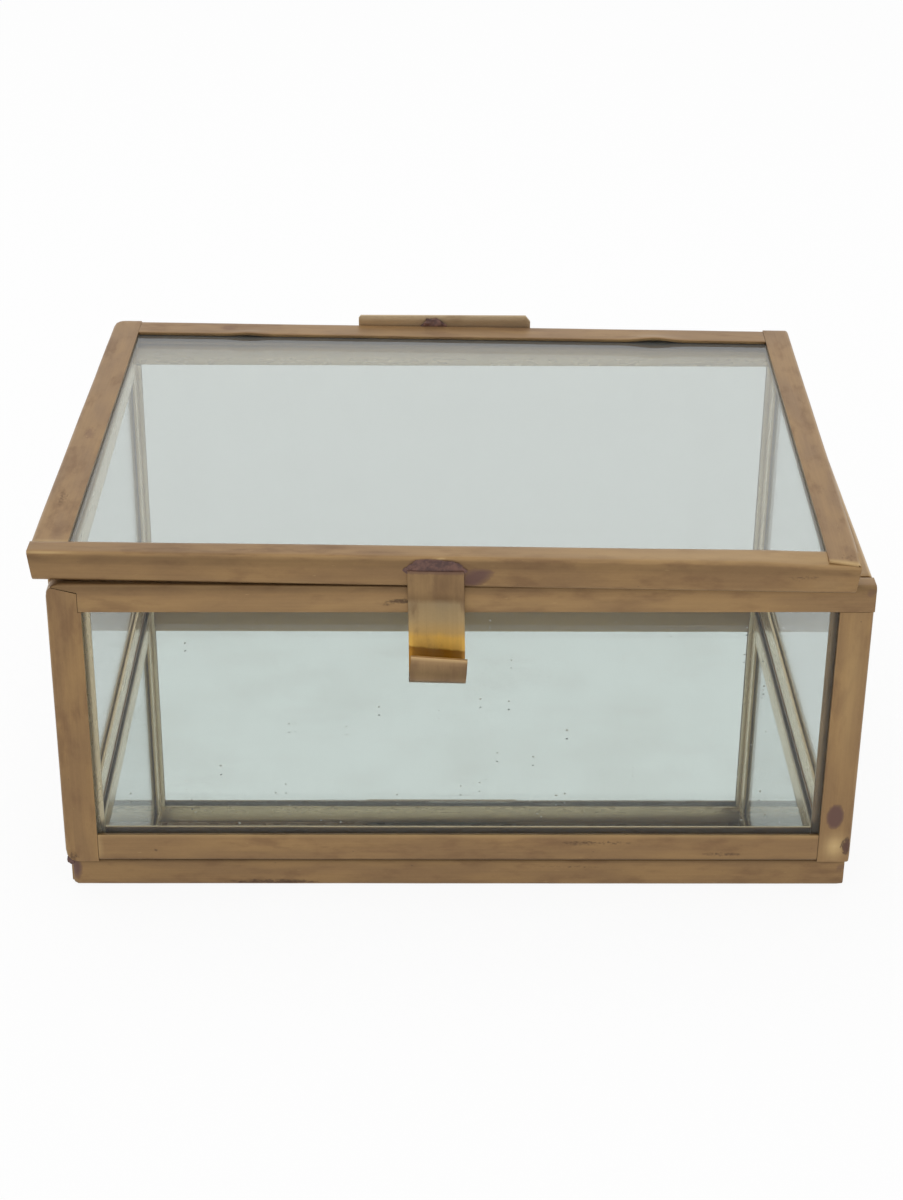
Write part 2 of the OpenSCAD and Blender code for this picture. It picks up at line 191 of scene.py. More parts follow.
# Pale tin colour, mixed in where the polish mark is above 1: tinning, and mostly painted light on the legs
# inside the glass.
tinned_and_lit_pale = (250, 228, 188)
# Dark brown, mixed in as painted shade where the polish mark is below 0.
shade_brown = (66, 48, 24)
grime_brown = (74, 50, 32)
flux_red = (104, 74, 66)
pit_brown = (64, 46, 30)


def aged_brass_group():
    """Old brass sheet: grain along the strip, blotches, pits, nicks, worn folds, flux stain and grime.
    Strip holds the place along and across the strip and the distance from the nearest fold, in millimetres.
    Marks holds how much flux stain and grime there is, and how polished the sheet is, with painted light and
    shade in the same value: below 0 it is painted shade, at 1 it is bright brass, worn or with a painted
    highlight, and towards 2 it is pale with tinning and painted light."""
    tree, given, out = new_group(
        "aged_brass",
        {"Strip": "Vector", "Marks": "Vector", "Plain": "Color", "Warm": "Color", "Dull": "Color",
         "Worn": "Color", "Roughness": "Float", "Metal": "Float"},
        {"Color": "Color", "Roughness": "Float", "Metal": "Float", "Height": "Float"},
    )

    def times(first, second):
        return math_of(tree, "MULTIPLY", first, second)

    def times_plus(first, second, third, clamp=False):
        return math_of(tree, "MULTIPLY_ADD", first, second, third, clamp)

    strip = given["Strip"]
    stained, dirty, polish_and_shading = add(tree, "SeparateXYZ", {0: given["Marks"]}).outputs
    from_fold = add(tree, "SeparateXYZ", {0: strip}).outputs[2]
    clouds = speckle(tree, strip, (0.07, 0.3, 0), 1, 3, 0.5)
    blotch = speckle(tree, strip, (0.2, 0.55, 0), 1, 4, 0.55, 7.3)
    grain = speckle(tree, strip, (0.05, 3.6, 0), 1, 2, 0.6, 3.1)
    fine = speckle(tree, strip, (2.5, 4, 0), 1, 3, 0.6, 11)
    color = mixed(tree, ramped(tree, clouds, 0.36, 0.64), given["Plain"], given["Warm"])
    dull = ramped(tree, blotch, 0.46, 0.72)
    color = mixed(tree, times(dull, 0.6), color, given["Dull"])
    shade = times(ramped(tree, grain, 0.3, 0.7, 0.965, 1.03), ramped(tree, fine, 0.3, 0.7, 0.98, 1.02))
    tone = add(tree, "CombineXYZ", {0: shade, 1: shade, 2: shade}).outputs[0]
    color = mixed(tree, 1, color, tone, "MULTIPLY")
    uneven = math_of(tree, "SUBTRACT", blotch, 0.5)
    rubbed = times_plus(uneven, 1.6, from_fold)
    worn = times(ramped(tree, rubbed, 0.42, 0.05), ramped(tree, from_fold, -0.9, -0.5))
    # Polish above 0 mixes in the worn colour, and above 1 the pale tin colour: wear and tinning, and also
    # painted highlights and painted light.
    worn = math_of(tree, "MAXIMUM", times(worn, 0.12), times_plus(uneven, times(polish_and_shading, 0.5), polish_and_shading))
    color = mixed(tree, math_of(tree, "MAXIMUM", worn, 0, clamp=True), color, given["Worn"])
    color = mixed(tree, ramped(tree, polish_and_shading, 1, 2), color, rgb(*tinned_and_lit_pale))
    nicks = ramped(tree, speckle(tree, strip, (0.55, 3.4, 0), 1, 2, 0.5, 31), 0.74, 0.78)
    color = mixed(tree, times(nicks, 0.3), color, given["Worn"])
    # Polish below 0 is painted shade, mixed in as a dark brown.
    painted_shade = math_of(tree, "MULTIPLY", polish_and_shading, -1, clamp=True)
    color = mixed(tree, times(painted_shade, 0.8), color, rgb(*shade_brown))
    ragged = times_plus(math_of(tree, "SUBTRACT", fine, 0.5), 1.5, uneven)
    grime = ramped(tree, times(dirty, times_plus(ragged, 1.6, 1)), 0.25, 0.6)
    color = mixed(tree, times(grime, 0.75), color, rgb(*grime_brown))
    flux = ramped(tree, times(stained, times_plus(ragged, 0.9, 1)), 0.28, 0.44)
    flux = times(flux, ramped(tree, stained, 0.2, 1, 0.25, 0.92))
    color = mixed(tree, flux, color, rgb(*flux_red))
    pits = ramped(tree, speckle(tree, strip, (1.6, 2.4, 0), 1, 2, 0.5, 23), 0.76, 0.8)
    color = mixed(tree, times(pits, 0.5), color, rgb(*pit_brown))
    rough = times_plus(dull, 0.08, given["Roughness"])
    rough = times_plus(worn, -0.08, rough)
    rough = times_plus(math_of(tree, "ADD", flux, grime), 0.2, rough, clamp=True)
    covered = math_of(tree, "MAXIMUM", flux, math_of(tree, "MAXIMUM", pits, grime))
    metal = times(given["Metal"], ramped(tree, covered, 0, 1, 1, 0.35))
    height = times(math_of(tree, "ADD", grain, fine), 0.5)
    height = times_plus(pits, -0.8, times_plus(flux, 0.6, height))
    feed(tree, out, {"Color": color, "Roughness": rough, "Metal": metal, "Height": height})
    return tree


def dust_group():
    """Dust on a pane: a faint haze in patches and small specks, by place in millimetres."""
    tree, given, out = new_group(
        "dust", {"Place": "Vector", "Amount": "Float"}, {"Haze": "Float", "Specks": "Float"},
    )
    place = given["Place"]
    haze = ramped(tree, speckle(tree, place, (1, 1, 1), 0.06, 4, 0.6), 0.42, 0.7)
    smear = ramped(tree, speckle(tree, place, (0.35, 1, 1), 0.3, 5, 0.7, 5), 0.45, 0.75)
    grit = ramped(tree, speckle(tree, place, (1, 1, 1), 2.4, 2, 0.5, 9), 0.72, 0.8)
    lint = ramped(tree, speckle(tree, place, (1, 1, 1), 0.9, 6, 0.8, 15), 0.66, 0.72)
    specks = math_of(tree, "MAXIMUM", grit, lint)
    haze = math_of(tree, "ADD", haze, smear)
    haze, specks = (math_of(tree, "MULTIPLY", part, given["Amount"], clamp=True) for part in (haze, specks))
    feed(tree, out, {"Haze": haze, "Specks": specks})
    return tree


aged_brass = aged_brass_group()
dust = dust_group()


def new_material(name, values=None):
    """A material with one Principled shader, some of whose sockets are set."""
    material = bpy.data.materials.new(name)
    material.use_nodes = True
    tree = material.node_tree
    shader = tree.nodes["Principled BSDF"]
    feed(tree, shader, values or {})
    return material, tree, shader


def place_in_mm(tree):
    """The place of a point in the piece's own frame, in millimetres."""
    place = add(tree, "TexCoord").outputs["Object"]
    return add(tree, "VectorMath", {0: place, "Scale": 1 / mm}, operation="SCALE").outputs[0]


def bumpy(tree, shader, height, strength, distance):
    """Gives a shader a relief from a height between 0 and 1."""
    bump = add(tree, "Bump", {"Height": height, "Strength": strength, "Distance": distance})
    feed(tree, shader, {"Normal": bump.outputs[0]})


def dusty(tree, shader, place, amount, haze_share, clean, dirty, speck_roughness, least=0):
    """Colours and roughens a pane where dust lies. Returns how dirty each point is."""
    haze, specks = add(tree, "Group", {"Place": place, "Amount": amount}, node_tree=dust).outputs
    dirt = math_of(tree, "MAXIMUM", math_of(tree, "MULTIPLY", haze, haze_share), specks)
    rough = math_of(tree, "MULTIPLY_ADD", specks, speck_roughness, least)
    feed(tree, shader, {"Base Color": mixed(tree, dirt, rgb(*clean), rgb(*dirty)), "Roughness": rough})
    return dirt


def brass(name, plain, warm, dull, worn, roughness=0.4, metal=0.6, tint=None):
    """Brass sheet. tint, if given, holds its plain colours along the strip as (millimetres, colour), with
    painted light and shade in them where the strip curves.
    """
    material, tree, shader = new_material(name)
    strip = add(tree, "Attribute", attribute_name="strip").outputs["Vector"]
    marks = add(tree, "Attribute", attribute_name="marks").outputs["Vector"]
    plain, warm = rgb(*plain), rgb(*warm)
    if tint:
        along = add(tree, "SeparateXYZ", {0: strip}).outputs[0]
        wobble = speckle(tree, strip, (0.6, 1.2, 0), 1, 3, 0.6, 2)
        along = math_of(tree, "MULTIPLY_ADD", math_of(tree, "SUBTRACT", wobble, 0.5), 0.5, along)
        reach = tint[-1][0]
        stops = add(tree, "ValToRGB", {0: math_of(tree, "DIVIDE", along, reach)})
        ramp = stops.color_ramp
        while len(ramp.elements) < len(tint):
            ramp.elements.new(0.5)
        for element, (at, color) in zip(ramp.elements, tint):
            element.position = at / reach
            element.color = rgb(*color)
        plain = stops.outputs[0]
        warm = mixed(tree, 0.25, plain, warm)
    values = {"Strip": strip, "Marks": marks, "Plain": plain, "Warm": warm, "Dull": rgb(*dull),
              "Worn": rgb(*worn), "Roughness": roughness, "Metal": metal}
    color, rough, metal, height = add(tree, "Group", values, node_tree=aged_brass).outputs
    feed(tree, shader, {"Base Color": color, "Roughness": rough, "Metallic": metal})
    bumpy(tree, shader, height, 0.15, 0.04 * mm)
    return material


def shown_mixed(tree, share, first, second):
    """Shows a material as one shader, with a share of another."""
    both = add(tree, "MixShader", {0: share, 1: first, 2: second})
    tree.links.new(both.outputs[0], tree.nodes["Material Output"].inputs[0])


def pane(name, tint, haze_color, amount, clear, gloss=1):
    """Clear glass that lamps shine through, with a little dust. gloss is the share of its reflection."""
    material, tree, shader = new_material(name, {
        "Transmission Weight": clear, "IOR": 1.5, "Metallic": 0, "Specular Tint": (gloss, gloss, gloss, 1),
    })
    place = place_in_mm(tree)
    dusty(tree, shader, place, amount, 0.12, tint, haze_color, 0.2)
    scratch = speckle(tree, place, (0.05, 3, 1), 1, 2, 0.5, 4)
    bumpy(tree, shader, ramped(tree, scratch, 0.7, 0.74), 0.02, 0.01 * mm)
    for_shadows = add(tree, "LightPath").outputs["Is Shadow Ray"]
    open_glass = add(tree, "BsdfTransparent", {0: rgb(*tint)}).outputs[0]
    shown_mixed(tree, for_shadows, shader.outputs[0], open_glass)
    return material


def silvering():
    """The mirror's silver, dulled where dust lies above it."""
    material, tree, shader = new_material("mirror_silver")
    bright, dulled = (250, 252, 250), (206, 200, 188)
    dirt = dusty(tree, shader, place_in_mm(tree), 0.3, 0.2, bright, dulled, 0.4, 0.015)
    feed(tree, shader, {"Metallic": math_of(tree, "SUBTRACT", 1, math_of(tree, "MULTIPLY", dirt, 0.6))})
    return material


def mottled(name, first, second, roughness, metal, scale, height):
    """A dull lumpy finish in two colours, for solder, dust and the mirror's painted back."""
    material, tree, shader = new_material(name)
    cloud = speckle(tree, place_in_mm(tree), (1, 1, 1), scale, 5, 0.65, 2)
    feed(tree, shader, {
        "Base Color": mixed(tree, ramped(tree, cloud, 0.35, 0.65), rgb(*first), rgb(*second)),
        "Roughness": ramped(tree, cloud, 0.3, 0.7, roughness - 0.1, roughness + 0.12),
        "Metallic": ramped(tree, cloud, 0.35, 0.65, metal, metal * 0.4),
    })
    bumpy(tree, shader, cloud, 0.5, height)
    return material


channel_brass = brass("channel_brass", (142, 112, 77), (156, 124, 83), (124, 94, 66), (192, 162, 114))
hinge_brass = brass("hinge_brass", (188, 166, 134), (198, 174, 138), (166, 142, 110), (224, 202, 160))
# The tongue's colours along its strip paint the light and shade of its bends: darker at the tuck below the
# rail, a bright golden sweep, painted shade in the valley above the curl, and lighter and darker bands on
# the lip.
tongue_brass = brass(
    "tongue_brass", (150, 120, 88), (176, 146, 100), (118, 92, 66), (214, 180, 130), 0.34, 0.7,
    tint=[(0, (134, 106, 74)), (2.6, (131, 103, 71)), (3.6, (116, 90, 62)), (4.4, (150, 130, 98)),
          (6.6, (166, 142, 102)), (8.2, (186, 152, 94)), (8.9, (214, 168, 80)), (10.2, (222, 175, 80)),
          (10.45, (150, 100, 22)), (11.1, (176, 122, 30)), (13.4, (140, 96, 20)), (15, (126, 96, 64)),
          (16.6, (122, 96, 68)), (17.8, (106, 84, 58)), (18.6, (124, 98, 70)), (19.8, (144, 114, 82))],
)
wall_pane = pane("clear_glass", (233, 237, 236), (226, 226, 220), 0.2, 0.96, 0.3)
lid_pane = pane("lid_glass", (217, 222, 219), (208, 209, 204), 0.3, 0.9)
mirror_pane = pane("mirror_glass", (252, 254, 253), (228, 224, 214), 0.35, 1, 0.3)
silver = silvering()
mirror_paint = mottled("mirror_paint", (86, 88, 90), (104, 104, 102), 0.6, 0, 0.4, 0.02 * mm)
solder = mottled("solder", (120, 90, 80), (86, 64, 60), 0.45, 0.7, 1.2, 0.05 * mm)
crumbs = mottled("dust_crumbs", (226, 222, 212), (196, 188, 172), 0.85, 0, 3, 0.02 * mm)


# Making of pieces

def put_in_scene(name, data):
    """A new object in the scene, with the given mesh, lamp or lens."""
    made = bpy.data.objects.new(name, data)
    bpy.context.scene.collection.objects.link(made)
    return made


def finish_piece(name, bm, material, body, place=Matrix.Identity(4), nodes=None, slot=None, smooth=True):
    """Turns a bmesh, built in its own frame, into a piece that rides on a body. Unless nodes are given, it
    replaces the node of its own name. slot is not used."""
    bm.transform(place)
    mesh = bpy.data.meshes.new(name)
    bm.to_mesh(mesh)
    bm.free()
    mesh.materials.append(material)
    if smooth:
        mesh.shade_smooth()
        mesh.set_sharp_from_angle(angle=math.radians(38))
    piece = put_in_scene(name, mesh)
    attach(piece, body)
    nodes = [name] if nodes is None else nodes
    if nodes:
        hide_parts(*nodes)
    return piece


def eased(bm, geometry, offset, segments, affect="EDGES"):
    """Rounds edges or corner points off."""
    bmesh.ops.bevel(bm, geom=geometry, offset=offset, segments=segments, affect=affect, profile=0.5,
                    clamp_overlap=True)


def swept(bm, geometry, steps, shift=(0, 0, 0), centre=(0, 0, 0), axis=(1, 0, 0), angle=0):
    """Sweeps points and edges into faces, by a shift a step or an angle in all. Returns the last ones."""
    made = bmesh.ops.spin(bm, geom=geometry, cent=centre, axis=axis, dvec=shift, angle=angle, steps=steps)
    return made["geom_last"]


def cut_away(bm, *planes):
    """Removes what lies beyond all of the planes, each a point and the direction beyond it."""
    for point, beyond in planes:
        geometry = bm.verts[:] + bm.edges[:] + bm.faces[:]
        bmesh.ops.bisect_plane(bm, geom=geometry, dist=1e-8, plane_co=point, plane_no=beyond)
    planes = [(Vector(point), Vector(beyond)) for point, beyond in planes]
    centres = [(f, f.calc_center_median()) for f in bm.faces]
    gone = [f for f, c in centres if all((c - point).dot(beyond) > 0 for point, beyond in planes)]
    bmesh.ops.delete(bm, geom=gone, context="FACES")


def thicken(bm, thickness, farthest, facing, edge=0.05 * mm):
    """Gives a sheet its thickness, away from the side that faces a direction at its farthest face along
    another."""
    bmesh.ops.recalc_face_normals(bm, faces=bm.faces[:])
    bm.normal_update()
    lead = max(bm.faces, key=lambda face: face.calc_center_median().dot(Vector(farthest)))
    if lead.normal.dot(Vector(facing)) < 0:
        bmesh.ops.reverse_faces(bm, faces=bm.faces[:])
        bm.normal_update()
    bmesh.ops.solidify(bm, geom=bm.verts[:] + bm.edges[:] + bm.faces[:], thickness=thickness)
    bm.normal_update()
    sharp = math.radians(60)
    rims = [e for e in bm.edges if len(e.link_faces) == 2 and e.calc_face_angle(0) > sharp]
    eased(bm, rims, edge, 2)


def swell(value, middle, radius):
    """A smooth hump of height 1 about a place."""
    return math.exp(-((value - middle) / radius) ** 2)


def clamped(value):
    """A value held between 0 and 1."""
    return min(1, max(0, value))


# Size of a strip's faces, along and across it
cell_along = 0.8 * mm
cell_across = 0.55 * mm


def channel(length, across, low_leg, high_leg):
    """Folded channel along X, with its web at y = 0 and its legs along Y at z = 0 and z = across."""
    bm = bmesh.new()
    outline = [bm.verts.new((0, y, z)) for y, z in ((low_leg, 0), (0, 0), (0, across), (high_leg, across))]
    for first, second in zip(outline, outline[1:]):
        bm.edges.new((first, second))
    eased(bm, outline[1:3], fold_r, 4, "VERTICES")
    for edge in [e for e in bm.edges if e.calc_length() > mm]:
        pieces = round(edge.calc_length() / cell_across)
        bmesh.ops.subdivide_edges(bm, edges=[edge], cuts=max(1, pieces - 1))
    steps = max(2, round(length / cell_along))
    swept(bm, bm.verts[:] + bm.edges[:], steps, (length / steps, 0, 0))
    return bm


def mark_layers(bm):
    """Where a mesh stores the place of each point on its strip, and its marks."""
    layers = bm.verts.layers.float_vector
    return [layers.get(name) or layers.new(name) for name in ("strip", "marks")]


def mark_channel(bm, across, seed, marks, hidden):
    """Stores each point's place on the strip, in millimetres, and its marks. The sides that face the glass
    get the last argument in place of the marks, as painted light above 0 and painted shade below 0."""
    strip, stains = mark_layers(bm)
    for vert in bm.verts:
        x, y, z = vert.co / mm
        wide = across / mm
        low = z < wide / 2
        over = z - y if low else z + y
        buried = min(y, z, wide - z) > 0.5 * sheet / mm
        near = min(abs(over), abs(over - wide))
        vert[strip] = (x + seed, over, -1 if buried else near)
        levels = [0, 0, 0]
        for kind, at_x, at_over, reach_x, reach_over, strength in marks:
            levels[kind] += strength * swell(x, at_x, reach_x) * swell(over, at_over, reach_over)
        vert[stains] = [0, 0, hidden] if buried else levels


def wave_channel(bm, across, seed, amount, dents):
    """Bends a strip slightly, as hand folding leaves it, and adds its dents."""
    for vert in bm.verts:
        x, y, z = vert.co
        side = 1 if z > across / 2 else -1
        depth = clamped(y / fold_r)
        outwards = Vector((0, -(1 - depth), side * depth)).normalized()
        slow = noise.noise(Vector((x * 70, y * 60, z * 90 + seed)))
        quick = noise.noise(Vector((x * 260, y * 160 + seed, z * 220)))
        push = amount * (slow + 0.35 * quick - 0.75)
        over = z - y if side < 0 else z + y
        for at_x, at_over, reach_x, reach_over, height in dents:
            push += height * mm * swell(x / mm, at_x, reach_x) * swell(over / mm, at_over, reach_over)
        vert.co += outwards * push


def strip_piece(name, place, length, across, legs, body, cuts=(), marks=(), dents=(), shapes=(), hidden=0):
    """One strip of folded channel, placed as by placing. It replaces the node of the same name."""
    seed = sum(ord(c) * (i + 3) for i, c in enumerate(name)) % 977
    bm = channel(length, across, *legs)
    for planes in cuts:
        cut_away(bm, *planes)
    thicken(bm, sheet, (0, -1, 0), (0, -1, 0))
    mark_channel(bm, across, seed, marks, hidden)
    wave_channel(bm, across, seed, 0.03 * mm, dents)
    for shape in shapes:
        for vert in bm.verts:
            vert.co = shape(vert.co.copy())
    finish_piece(name, bm, channel_brass, body, placing(*place))


# Cuts of strips

X, Y, Z = 0, 1, 2


def past(axis, place, sign=1):
    """A plane for cut_away, beyond a place on an axis, or before it if sign is -1."""
    point, beyond = Vector(), Vector()
    point[axis] = place
    beyond[axis] = sign
    return point, beyond


def ends_only_web(x, across, sign):
    """Cuts that leave only the middle of the web beyond x, as the tab that closes a neighbour's end."""
    inner = sheet + hair
    return [[past(X, x, sign), past(Z, inner, -1)], [past(X, x, sign), past(Z, across - inner)]]


# Shapes that strips are pressed into: each is a function that moves a point

def rounded(corner_x, radius, axis=Y):
    """Pulls points near a square corner of a strip in, so that the corner is round."""
    def shape(point):
        side = 1 if corner_x == 0 else -1
        dx = radius - side * (point.x - corner_x)
        dy = radius - point[axis]
        reach = math.hypot(dx, dy)
        if dx > 0 and dy > 0 and reach > radius:
            point.x += side * dx * (1 - radius / reach)
            point[axis] += dy * (1 - radius / reach)
        return point
    return shape


def tapered(length, start, end, deepest=1):
    """Makes the legs of a strip wider or narrower from one end to the other, up to a depth in it."""
    def shape(point):
        if point.z < deepest:
            point.y *= start + (end - start) * point.x / length
        return point
    return shape


def leaning(end, reach, by, axis):
    """Leans a lid rail inwards near one end, more towards its underside."""
    def shape(point):
        point[axis] += by * (1 - point.z / lid_t) * swell(point.x, end, reach)
        return point
    return shape


# Marks on strips: each is (kind, place along, place across, reach along, reach across, strength), in
# millimetres. A place across is from 0 to the strip's thickness on the web, below 0 on the leg at z = 0 and
# above the thickness on the other leg. Dents are the same without a kind, with a height for the strength.
# The polish kind carries wear and tinning, and also painted light and shade: a strength below 0 paints
# shade, and the pale bands and bright lines above 0 are mostly painted light and painted highlights.
FLUX, GRIME, POLISH_AND_SHADING = 0, 1, 2
everywhere = 1000


def all_along(across, reach, strength):
    """A band along a whole strip that is polished or painted lighter, or painted shade if strength is below
    0.
    """
    return POLISH_AND_SHADING, 0, across, everywhere, reach, strength


# Walls
corner_r = 1.8 * mm
foot_r = 1.7 * mm
seam_r = 0.9 * mm
lap_r = 0.3 * mm
post_top = 0.2 * mm
post_seam = stile_leg - 0.35 * mm
lap_slope = 0.26
rear_stile_leg = 3.4 * mm
narrower_left = 0.32 * mm
narrower_right = 0.56 * mm
inner_side = wall_t / mm + 2.6
# The inner leg inside the casket, tinned and painted pale to stand in for the light that reaches it through
# the glass.
painted_pale_inside = all_along(inner_side, 3, 2.3)
# Bands of painted light and shade on the top rails: on the front rail, painted shade just below its top fold
# where the lid shades it; on every rail, the inner leg inside the glass painted pale for the light there; on
# the right rail, a painted highlight along its outer top fold.
rail_marks = {
    "front": [
        (GRIME, 43.2, -2.1, 0.7, 0.3, 1.5), (GRIME, 42.2, -2.5, 0.8, 0.25, 1.4),
        (GRIME, 40.8, -2.6, 0.9, 0.25, 1.2), (GRIME, 2.5, -1.2, 2, 0.25, 0.5),
        (FLUX, 99.4, -1, 1, 1.4, 0.5), (GRIME, 98.1, -1, 0.35, 0.35, 0.9),
        all_along(-0.2, 0.9, -0.5), (POLISH_AND_SHADING, 50, -2.8, 60, 1.3, 0.14), all_along(inner_side, 2.6, 1),
    ],
    "rear": [
        (FLUX, 38, -1.5, 3, 1.4, 0.7), (FLUX, 63, -1.5, 3, 1.4, 0.7), all_along(inner_side, 2.6, 1.7),
    ],
    "left": [
        (FLUX, 0.6, -2, 1.6, 1.6, 0.55), (FLUX, side_d / mm - 0.6, -2, 1.6, 1.6, 0.55), painted_pale_inside,
    ],
    "right": [(FLUX, 0.6, -2, 1.6, 1.6, 0.55), painted_pale_inside, all_along(0.1, 0.3, 1)],
}
# On the front right post the upper part is painted lighter, as light falls there; on both front posts the
# inner leg inside the glass is painted pale for the light there.
stile_marks = {
    "front_left_stile": [
        (GRIME, 0.5, -1, 1.5, 1, 0.45), (GRIME, 30, -2, 5, 1.2, 0.25),
        all_along(inner_side, 2.6, 1.2),
    ],
    "front_right_stile": [
        (FLUX, 32.1, -2.4, 1.35, 0.8, 2.6), (GRIME, 36.5, -0.6, 1.1, 0.6, 1.6),
        (FLUX, 36.5, -0.6, 1.2, 0.65, 0.9), (POLISH_AND_SHADING, 36.6, -2.1, 1.5, 1.2, 1.2),
        (POLISH_AND_SHADING, 13, -2, 11, 1.5, 0.3), all_along(7.6, 1.4, 1.7),
    ],
}
plain_stile_marks = [(FLUX, 0.5, -1, 2, 1.6, 0.5), painted_pale_inside]
# How pale or dark the sides of the legs that face the glass are painted: painted light and shade for what
# shows through the glass, cream on the front left post and a shaded band on the front bottom rail.
glass_side_shading = {
    "front_left_stile": 1.7, "front_right_stile": 0.15, "front_bottom_rail": -0.15, "rear_bottom_rail": 0.9,
}
plain_glass_side_shading = 0.8


def top_rail(side, place, length, leg):
    """A wall's top rail. The corner post laps over the left end of the front one."""
    cuts, shapes = [], []
    if side == "front":
        above_post = (0, post_top, 0), Vector((-lap_slope, 1, 0)).normalized()
        cuts = [[above_post, past(X, post_seam, -1), past(Z, wall_t / 2, -1)]]
        left, right = (1 - narrower / rail_leg for narrower in (narrower_left, narrower_right))
        shapes = [tapered(length, left, right, wall_t / 2), rounded(0, corner_r)]
    strip_piece(f"{side}_top_rail", (place, (0, 0, wall_h), (1, 0, 0), (0, 0, -1)), length, wall_t,
                (leg, leg), "casket", cuts=cuts, marks=rail_marks[side], shapes=shapes)


def bottom_rail(side, place, length, outside, inside):
    """A wall's bottom rail, between the outer legs and the inner legs of its stiles."""
    name = f"{side}_bottom_rail"
    start = min(outside, inside) + hair
    end = length - 2 * start
    cuts = []
    for sign, leg in ((-1, outside), (1, inside)):
        back = leg + hair - start
        if back > 0:
            half = past(Z, wall_t / 2, sign)
            cuts += [[past(X, back, -1), half], [past(X, end - back), half]]
    # A band of painted shade along the bottom fold where the rail meets the base, and the inner leg painted
    # pale for the light inside the glass.
    marks = [
        (GRIME, 12, -1, 4, 0.5, 0.5), (GRIME, 28, -2.8, 6, 0.6, 0.55), (GRIME, 84, -1.6, 0.5, 0.3, 0.8),
        (FLUX, 0.5, -2, 1, 1.6, 0.4), all_along(-rail_leg / mm, 0.25, 0.35), all_along(-0.1, 0.35, -0.7),
        (POLISH_AND_SHADING, end / mm - 0.2, -2.2, 0.3, 2, 0.7),
        all_along(inner_side, 3, 0.8) if side == "rear" else painted_pale_inside, all_along(7.1, 0.4, 0.6),
    ]
    strip_piece(name, (place, (length - start, 0, 0), (-1, 0, 0), (0, 0, 1)), end, wall_t,
                (rail_leg, rail_leg), "casket", cuts=cuts, marks=marks,
                hidden=glass_side_shading.get(name, plain_glass_side_shading))


def stile(name, place, tall, legs, cuts, shapes):
    """One of a wall's two stiles."""
    strip_piece(name, place, tall, wall_t, legs, "casket", cuts=cuts, shapes=shapes,
                marks=stile_marks.get(name, plain_stile_marks),
                hidden=glass_side_shading.get(name, plain_glass_side_shading))


def left_stile(name, place, stile_end, legs):
    """The stile at a wall's left. The front one is a corner post, whose outer leg laps over the top rail."""
    tall = wall_h - fold_r
    cuts = ends_only_web(stile_end - hair, wall_t, 1)
    shapes = [rounded(0, seam_r)]
    if name == "front_left_stile":
        tall = wall_h - post_top
        oblique = (wall_h - post_top - 0.05 * mm, 0, 0), Vector((1, lap_slope, 0)).normalized()
        cuts = [
            [past(X, stile_end - hair), past(Z, wall_t - sheet - hair)],
            [oblique],
            [past(X, stile_end + narrower_left - hair), past(Y, post_seam - hair)],
            [past(X, wall_h - fold_r), past(Y, fold_r, -1), past(Z, sheet + hair)],
        ]
        shapes = [rounded(0, foot_r), rounded(wall_h, corner_r)]
    stile(name, (place, (0, 0, 0), (0, 0, 1), (1, 0, 0)), tall, legs, cuts, shapes)


def right_stile(name, place, length, stile_end, legs):
    """The stile at a wall's right. The outer leg of the front one meets a narrower rail."""
    tall = wall_h - fold_r
    cuts = ends_only_web(tall - stile_end + hair, wall_t, -1)
    shapes = [rounded(tall, seam_r)]
    if name == "front_right_stile":
        cuts[0] = [past(X, tall - stile_end - narrower_right + hair, -1), past(Z, sheet + hair, -1)]
        shapes = [rounded(tall, lap_r)]
    stile(name, (place, (length, 0, tall), (0, 0, -1), (-1, 0, 0)), tall, legs, cuts, shapes)


for side, (place, length, first, last) in walls.items():
    stile_end = wall_h - (rear_top_leg if side == "rear" else rail_leg)
    inside = front_inside if side == "front" else stile_inside
    outside = rear_stile_leg if side == "rear" else stile_leg
    top_rail(side, place, length, wall_h - stile_end)
    bottom_rail(side, place, length, outside, inside)
    left_stile(first, place, stile_end, (outside, inside))
    right_stile(last, place, length, stile_end, (outside, inside))


# Base frame, its long rails at the front and the rear

def base_rail(name, origin, along, legs, long):
    """A strip of the base frame. The short ones are cut back where the long ones close their ends."""
    length = base_w if long else base_d - 2 * fold_r
    cuts, shapes = [], []
    if not long:
        lip = base_lip - fold_r + hair
        reach = base_leg - fold_r + hair
        under = past(Y, fold_r), past(Z, base_t / 2, -1)
        cuts = ends_only_web(lip, base_t, -1) + ends_only_web(length - lip, base_t, 1)
        cuts += [[past(X, reach, -1), *under], [past(X, length - reach), *under]]
    if name == "base_rail_front":
        shapes = [rounded(0, 1.2 * mm), rounded(0, 1.1 * mm, Z), rounded(base_w, 0.7 * mm, Z)]
    # Bands of painted shade along the top fold, under the wall's overhang, and along the bottom fold, and a
    # faint one over the whole outer face.
    marks = [
        (FLUX, 0.4, 2.7, 0.9, 1.6, 1.4), (GRIME, 26, 0.6, 7, 0.5, 0.6), (GRIME, 64, 2.9, 9, 0.5, 0.4),
        (FLUX, length / mm - 0.4, 2.8, 0.8, 1, 0.6), all_along(base_t / mm - 0.1, 0.35, -0.7),
        all_along(0.1, 0.5, -0.3), all_along(2, 3, -0.1),
    ]
    strip_piece(name, (base_place, origin, along, legs), length, base_t, (base_leg, base_lip),
                "casket", cuts, marks, shapes=shapes)


base_rail("base_rail_front", (0, 0, 0), (1, 0, 0), (0, 1, 0), True)
base_rail("base_rail_rear", (base_w, base_d, 0), (-1, 0, 0), (0, -1, 0), True)
base_rail("base_rail_left", (0, base_d - fold_r, 0), (0, -1, 0), (1, 0, 0), False)
base_rail("base_rail_right", (base_w, fold_r, 0), (0, 1, 0), (-1, 0, 0), False)

